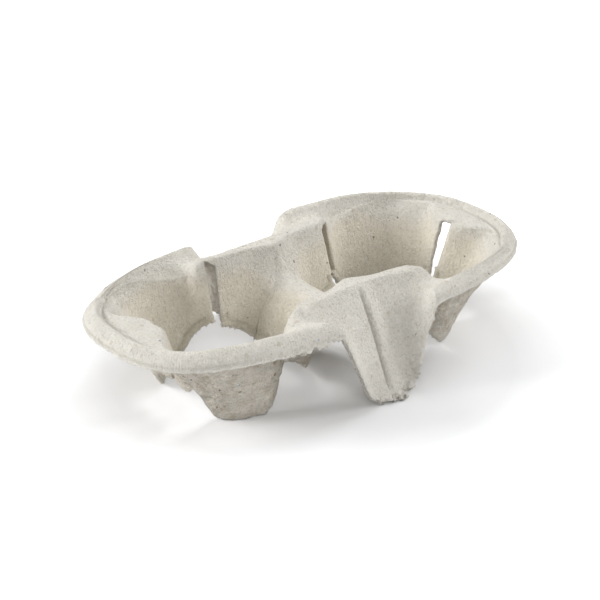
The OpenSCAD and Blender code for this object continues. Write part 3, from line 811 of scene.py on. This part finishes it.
def pulp_material():
    m = bpy.data.materials.new("pulp")
    m.use_nodes = True
    node, put, maths, between = tools(m.node_tree)
    bsdf = m.node_tree.nodes["Principled BSDF"]
    bsdf.inputs["Roughness"].default_value = PULP_ROUGH
    bsdf.inputs["Specular IOR Level"].default_value = PULP_SPECULAR
    place = node("TexCoord").outputs["Object"]

    def times(a, b):
        return maths("MULTIPLY", a, b)

    def plus(a, b):
        return maths("ADD", a, b)

    def mark(name):
        return node("Attribute", attribute_name=name).outputs["Fac"]

    def cloud(scale, detail, rough=0.5, twist=0.0, stretch=None):
        made = node("TexNoise")
        where = place
        if stretch:
            move = node("Mapping")
            put(move.inputs["Vector"], place)
            move.inputs["Scale"].default_value = stretch
            where = move.outputs[0]
        put(made.inputs["Vector"], where)
        made.inputs["Scale"].default_value = scale
        made.inputs["Detail"].default_value = detail
        made.inputs["Roughness"].default_value = rough
        made.inputs["Distortion"].default_value = twist
        return made.outputs["Fac"]

    def wobble(reach, scale):
        made = node("TexNoise")
        put(made.inputs["Vector"], place)
        made.inputs["Scale"].default_value = scale
        move = node("VectorMath", operation="MULTIPLY_ADD")
        put(move.inputs[0], made.outputs["Color"])
        move.inputs[1].default_value = (reach, reach, reach)
        put(move.inputs[2], place)
        return move.outputs[0]

    def blend(share, a, b):
        made = node("Mix", data_type="RGBA")
        put(made.inputs[MIX_SHARE], share)
        put(made.inputs[MIX_FIRST], a)
        put(made.inputs[MIX_SECOND], b)
        return made.outputs[MIX_COLOUR]

    def flecks(scale, size, chance):
        made = node("TexVoronoi")
        put(made.inputs["Vector"], wobble(FLECK_WOBBLE, FLECK_WOBBLE_SCALE))
        made.inputs["Scale"].default_value = scale
        parts = node("SeparateColor")
        put(parts.inputs[0], made.outputs["Color"])
        pick, spread, tint = parts.outputs
        gap = maths("SUBTRACT", times(spread, size), made.outputs["Distance"])
        chosen = maths("GREATER_THAN", pick, 1 - chance)
        return times(between(gap, 0.0, FLECK_SOFT), chosen), tint

    under, edge, inner, depth = mark("under"), mark("edge"), mark("inner"), mark("depth")
    mottle = cloud(scale=55, detail=3)
    patch = cloud(scale=230, detail=3, rough=0.65)
    grain = cloud(scale=820, detail=3, rough=0.75)
    fibre = cloud(scale=380, detail=3, rough=0.65, twist=3.0)
    streak = cloud(scale=520, detail=2, rough=0.6, twist=0.8, stretch=(1.7, 1.7, 0.45))
    tan_spot, _ = flecks(scale=420, size=0.42, chance=0.13)
    dark_spot, _ = flecks(scale=330, size=0.21, chance=0.09)
    ink_spot, tint = flecks(scale=160, size=0.12, chance=0.16)
    ink = blend(maths("GREATER_THAN", tint, RED_SHARE), RED_INK, BLUE_INK)

    layers = (
        # Warm tint inside the pockets: painted bounce light and shade
        (inner, INNER_BOUNCE_SHADE_COLOUR),
        # Painted shade, darker deep in the pockets
        (times(inner, between(depth, 0.15, 0.95, high=0.85)), POCKET_SHADE_COLOUR),
        (times(under, 0.85), UNDER_COLOUR),
        (times(between(patch, 0.46, 0.66), plus(times(under, 0.5), 0.05)), STAIN_COLOUR),
        (between(mottle, 0.3, 0.7, high=0.25), MOTTLE_COLOUR),
        (between(fibre, 0.55, 0.64, high=0.3), PALE_FIBRE),
        (between(fibre, 0.43, 0.33, high=0.42), DARK_FIBRE),
        (between(grain, 0.46, 0.25, high=0.55), DARK_GRAIN),
        (between(grain, 0.54, 0.75, high=0.6), PALE_GRAIN),
        (times(edge, 0.4), EDGE_COLOUR),
        # Painted highlight along the lip and funnel edges
        (times(mark("edge_highlight"), 0.7), EDGE_HIGHLIGHT_COLOUR),
        # Painted shade in the slits, the lip groove, the toe crease and along the hole edges
        (times(mark("toe"), 0.55), SHADE_COLOUR),
        (times(tan_spot, plus(times(under, 0.45), 0.3)), TAN_FLECK),
        (times(dark_spot, 0.75), DARK_FLECK),
        (times(ink_spot, 0.7), ink),
    )
    colour = TOP_COLOUR
    for share, over in layers:
        colour = blend(share, colour, over)
    put(bsdf.inputs["Base Color"], colour)

    ribs = maths("SINE", times(mark("round_rim"), 2 * math.pi / RIB_PITCH))
    ribs = times(ribs, times(mark("rim_band"), times(patch, RIB_HIGH)))
    fibre_high = plus(FIBRE_HIGH, times(under, FIBRE_UNDER))
    height = plus(times(grain, GRAIN_HIGH), times(fibre, fibre_high))
    height = plus(height, times(streak, plus(STREAK_HIGH, times(inner, STREAK_INNER))))
    height = plus(plus(height, times(patch, times(under, PATCH_UNDER))), ribs)
    bump = node("Bump")
    bump.inputs["Strength"].default_value = BUMP_STRENGTH
    bump.inputs["Distance"].default_value = BUMP_DEEP
    put(bump.inputs["Height"], height)
    put(bsdf.inputs["Normal"], bump.outputs[0])
    return m


shell.data.materials.append(pulp_material())
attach(shell, "root")
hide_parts("carrier")


# Rays that see the surroundings as white: the camera's, and those of gloss and glass
def white_rays(tree):
    node, _, maths, _ = tools(tree)
    path = node("LightPath").outputs
    seen = maths("MAXIMUM", path["Is Camera Ray"], path["Is Glossy Ray"])
    return maths("MAXIMUM", seen, path["Is Transmission Ray"])


# Floor: white away from the object, with its shadow near it, and clear when seen from below
FLOOR_SIZE, FLOOR_DROP, FLOOR_COLOUR = 12, 0.0002, (0.90, 0.905, 0.915, 1)
NEAR_GLOW, FAR_GLOW = (0.09, 0.17, 0.0, 0.6), (0.3, 1.2, 0.0, 0.4)
WHITE = (1, 1, 1, 1)


def floor_material():
    m = bpy.data.materials.new("floor")
    m.use_nodes = True
    node, put, maths, between = tools(m.node_tree)
    bsdf = m.node_tree.nodes["Principled BSDF"]
    bsdf.inputs["Base Color"].default_value = FLOOR_COLOUR
    bsdf.inputs["Roughness"].default_value = 1.0
    bsdf.inputs["Specular IOR Level"].default_value = 0.0
    bsdf.inputs["Emission Color"].default_value = WHITE
    span = node("VectorMath", operation="LENGTH")
    put(span.inputs[0], node("TexCoord").outputs["Object"])
    near, far = (between(span.outputs["Value"], *glow) for glow in (NEAR_GLOW, FAR_GLOW))
    glow = maths("MULTIPLY", maths("ADD", near, far), white_rays(m.node_tree))
    put(bsdf.inputs["Emission Strength"], glow)
    from_camera = node("LightPath").outputs["Is Camera Ray"]
    below = maths("MULTIPLY", node("NewGeometry").outputs["Backfacing"], from_camera)
    surface = node("MixShader")
    put(surface.inputs[0], below)
    put(surface.inputs[1], bsdf.outputs[0])
    put(surface.inputs[2], node("BsdfTransparent").outputs[0])
    put(m.node_tree.nodes["Material Output"].inputs["Surface"], surface.outputs[0])
    return m


bpy.ops.mesh.primitive_plane_add(size=FLOOR_SIZE, location=(0, 0, -FLOOR_DROP))
floor = bpy.context.object
floor.name = "floor"
floor.data.materials.append(floor_material())

# World: white to the rays named above, a little fill on the object
FILL = 0.06
world = bpy.data.worlds.new("studio")
bpy.context.scene.world = world
world.use_nodes = True
_, put, _, between = tools(world.node_tree)
background = world.node_tree.nodes["Background"]
background.inputs["Color"].default_value = WHITE
put(background.inputs["Strength"], between(white_rays(world.node_tree), 0.0, 1.0, low=FILL))

# Soft lamps: name, turn and lift in degrees, size in metres and power in watts
LAMP_AWAY = 3.0
LAMPS = (
    ("left", 142, 26, 1.6, 91),
    ("right", -39, 30, 1.6, 38),
    ("far_right", 8, 37, 1.6, 36),
    ("front", -129, 36, 1.6, 26),
    ("above", 0, 90, 3.0, 22),
)
for name, turn, lift, size, power in LAMPS:
    lamp_data = bpy.data.lights.new(name, "AREA")
    lamp_data.shape = "DISK"
    lamp_data.size = size
    lamp_data.energy = power
    lamp = bpy.data.objects.new(name, lamp_data)
    sideways = cosine(lift)
    lamp.location = LAMP_AWAY * Vector((cosine(turn) * sideways, sine(turn) * sideways, sine(lift)))
    lamp.rotation_euler = (-lamp.location).to_track_quat("-Z", "Y").to_euler()
    lamp.visible_camera = False
    bpy.context.scene.collection.objects.link(lamp)

# Camera from the fit to the photograph
CAMERA_TURN, CAMERA_LIFT, CAMERA_AWAY, LENS, SENSOR = 39.3, 26.4, 779 * MM, 108, 36
target = Vector((-5.2, 0, 28.1)) * MM
cam_data = bpy.data.cameras.new("camera")
cam_data.lens = LENS
cam_data.sensor_width = SENSOR
cam = bpy.data.objects.new("camera", cam_data)
sideways = cosine(CAMERA_LIFT)
cam.location = target + CAMERA_AWAY * Vector((
    -sine(CAMERA_TURN) * sideways, -cosine(CAMERA_TURN) * sideways, sine(CAMERA_LIFT)))
cam.rotation_mode = "QUATERNION"
cam.rotation_quaternion = (target - cam.location).to_track_quat("-Z", "Y")
bpy.context.scene.collection.objects.link(cam)
bpy.context.scene.camera = cam
bpy.context.scene.view_settings.view_transform = "Standard"
